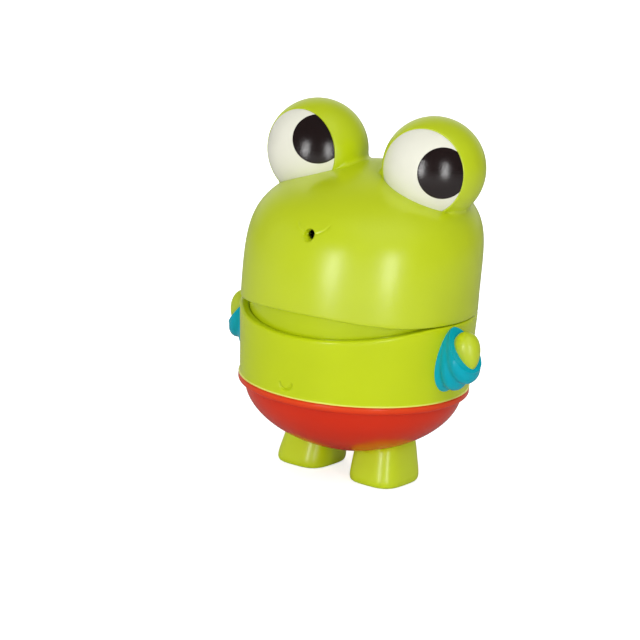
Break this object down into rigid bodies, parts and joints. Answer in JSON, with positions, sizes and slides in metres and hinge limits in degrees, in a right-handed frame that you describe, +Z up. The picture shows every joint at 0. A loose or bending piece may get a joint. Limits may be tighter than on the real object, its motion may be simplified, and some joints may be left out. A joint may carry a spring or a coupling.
{
  "type": "frog bath squirter toy",
  "caption": "Soft vinyl frog bath toy: a cup torso on two feet, a pull-off domed head on a neck ring, ball eyes, a nose squirt hole and a squeaker in the base.",
  "frame": {"origin": "on the floor midway between the two feet, under the middle of the torso", "axes": "+Z up, the frog faces -Y, and its own left side is +X"},
  "size_m": [0.0672, 0.0537, 0.0828],
  "materials": {
    "green_vinyl": "satin soft vinyl, lime green",
    "red_vinyl": "satin soft vinyl, orange red",
    "teal_vinyl": "satin soft vinyl, teal",
    "ring_vinyl": "satin soft vinyl, lime green in the shade",
    "cream_paint": "semi gloss cream enamel",
    "brown_paint": "gloss brown black enamel with a fine orange peel",
    "squeaker_plastic": "natural white moulded plastic",
    "reed_brass": "bright rolled brass"
  },
  "bodies": {
    "torso": {"torso_shell": "green_vinyl", "trunks": "red_vinyl", "left_foot": "green_vinyl", "right_foot": "green_vinyl", "left_arm": "green_vinyl", "right_arm": "green_vinyl", "left_armband": "teal_vinyl", "right_armband": "teal_vinyl", "squeaker_case": "squeaker_plastic", "squeaker_lid": "squeaker_plastic"},
    "reed": {"squeaker_reed": "reed_brass"},
    "collar": {"neck_ring": "ring_vinyl"},
    "head": {"head_shell": "green_vinyl", "left_eye_white": "cream_paint", "right_eye_white": "cream_paint", "left_pupil": "brown_paint", "right_pupil": "brown_paint"}
  },
  "joints": [
    {"name": "head_turn", "type": "hinge", "parent": "torso", "child": "collar", "pos_m": [0, 0, 0.0393], "axis": [0, 0, 1], "continuous": true},
    {"name": "head_lift", "type": "slide", "parent": "collar", "child": "head", "axis": [0, 0, 1], "range_m": [0, 0.016]},
    {"name": "reed_buzz", "type": "hinge", "parent": "torso", "child": "reed", "pos_m": [0, -0.00042, 0.0152], "axis": [1, 0, 0], "range_deg": [-2.5, 2.5], "stiffness_Nm_per_rad": 0.000001}
  ]
}
